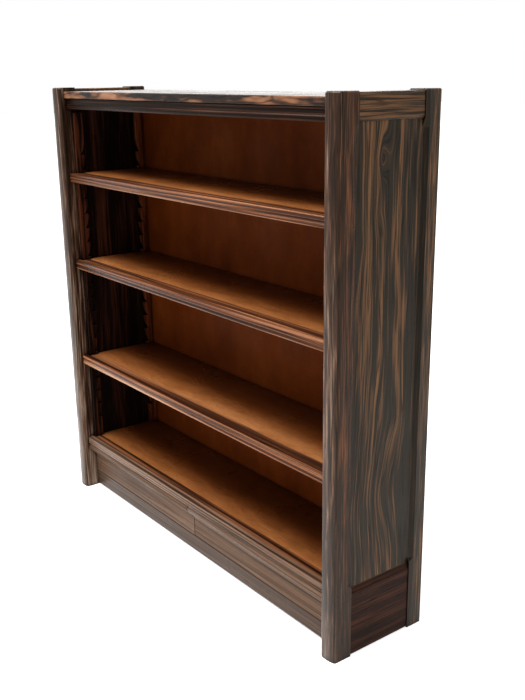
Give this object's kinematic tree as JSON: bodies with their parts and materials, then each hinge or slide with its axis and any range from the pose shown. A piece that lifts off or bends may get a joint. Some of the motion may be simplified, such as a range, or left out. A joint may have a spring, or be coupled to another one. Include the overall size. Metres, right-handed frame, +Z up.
{
  "type": "bookcase with adjustable shelves",
  "caption": "Low wide bookcase with framed sides, loose shelves on bearers in sawtooth racks, and hidden drawers in the plinth.",
  "frame": {"origin": "centre of the footprint on the floor, under the middle of the case", "axes": "+X along the width to the right end, +Y from front to back, +Z up"},
  "size_m": [1.3, 0.296, 1.3],
  "materials": {
    "dark_striped_veneer": "semi-gloss polish over near-black and brown striped veneer",
    "shelf_veneer": "semi-gloss orange-brown veneer with a dark striped strip along the front",
    "back_veneer": "satin dark red-brown veneer",
    "rack_wood": "satin red-brown solid wood",
    "inner_wood": "plain oiled wood",
    "screw_steel": "dull slotted screw"
  },
  "bodies": {
    "root": {"front_post_right": "dark_striped_veneer", "front_post_left": "dark_striped_veneer", "rear_post_right": "dark_striped_veneer", "rear_post_left": "dark_striped_veneer", "side_panel_right": "dark_striped_veneer", "side_panel_left": "dark_striped_veneer", "side_lining_right": "dark_striped_veneer", "side_lining_left": "dark_striped_veneer", "side_top_rail_right": "dark_striped_veneer", "side_top_rail_left": "dark_striped_veneer", "side_bottom_rail_right": "dark_striped_veneer", "side_bottom_rail_left": "dark_striped_veneer", "rack_front_right": "rack_wood", "rack_front_left": "rack_wood", "rack_rear_right": "rack_wood", "rack_rear_left": "rack_wood", "top_board": "dark_striped_veneer", "top_front_rail": "dark_striped_veneer", "top_rear_rail": "inner_wood", "back_panel": "back_veneer", "back_panel_screws": "screw_steel", "bottom_shelf": "shelf_veneer", "bottom_shelf_moulding": "dark_striped_veneer", "plinth_skirting": "dark_striped_veneer", "plinth_rear_rail": "inner_wood", "drawer_divider": "inner_wood", "drawer_runners": "inner_wood", "glue_blocks": "inner_wood"},
    "drawer_left": {"drawer_front_left": "dark_striped_veneer", "drawer_inner_side_left": "inner_wood", "drawer_outer_side_left": "inner_wood", "drawer_back_left": "inner_wood", "drawer_bottom_left": "inner_wood"},
    "drawer_right": {"drawer_front_right": "dark_striped_veneer", "drawer_inner_side_right": "inner_wood", "drawer_outer_side_right": "inner_wood", "drawer_back_right": "inner_wood", "drawer_bottom_right": "inner_wood"},
    "shelf_upper": {"shelf_upper_board": "shelf_veneer", "shelf_upper_lipping": "dark_striped_veneer"},
    "bearer_upper_left": {"bearer_upper_left": "rack_wood"},
    "bearer_upper_right": {"bearer_upper_right": "rack_wood"},
    "shelf_middle": {"shelf_middle_board": "shelf_veneer", "shelf_middle_lipping": "dark_striped_veneer"},
    "bearer_middle_left": {"bearer_middle_left": "rack_wood"},
    "bearer_middle_right": {"bearer_middle_right": "rack_wood"},
    "shelf_lower": {"shelf_lower_board": "shelf_veneer", "shelf_lower_lipping": "dark_striped_veneer"},
    "bearer_lower_left": {"bearer_lower_left": "rack_wood"},
    "bearer_lower_right": {"bearer_lower_right": "rack_wood"}
  },
  "joints": [
    {"name": "drawer_left_slide", "type": "slide", "parent": "root", "child": "drawer_left", "axis": [0, -1, 0], "range_m": [0, 0.17]},
    {"name": "drawer_right_slide", "type": "slide", "parent": "root", "child": "drawer_right", "axis": [0, -1, 0], "range_m": [0, 0.17]},
    {"name": "shelf_upper_lift", "type": "slide", "parent": "root", "child": "shelf_upper", "axis": [0, 0, 1], "range_m": [0, 0.18]},
    {"name": "bearer_upper_left_slide", "type": "slide", "parent": "root", "child": "bearer_upper_left", "axis": [1, 0, 0], "range_m": [0, 0.018]},
    {"name": "bearer_upper_right_slide", "type": "slide", "parent": "root", "child": "bearer_upper_right", "axis": [-1, 0, 0], "range_m": [0, 0.018]},
    {"name": "shelf_middle_lift", "type": "slide", "parent": "root", "child": "shelf_middle", "axis": [0, 0, 1], "range_m": [0, 0.225]},
    {"name": "bearer_middle_left_slide", "type": "slide", "parent": "root", "child": "bearer_middle_left", "axis": [1, 0, 0], "range_m": [0, 0.018]},
    {"name": "bearer_middle_right_slide", "type": "slide", "parent": "root", "child": "bearer_middle_right", "axis": [-1, 0, 0], "range_m": [0, 0.018]},
    {"name": "shelf_lower_lift", "type": "slide", "parent": "root", "child": "shelf_lower", "axis": [0, 0, 1], "range_m": [0, 0.27]},
    {"name": "bearer_lower_left_slide", "type": "slide", "parent": "root", "child": "bearer_lower_left", "axis": [1, 0, 0], "range_m": [0, 0.018]},
    {"name": "bearer_lower_right_slide", "type": "slide", "parent": "root", "child": "bearer_lower_right", "axis": [-1, 0, 0], "range_m": [0, 0.018]}
  ]
}
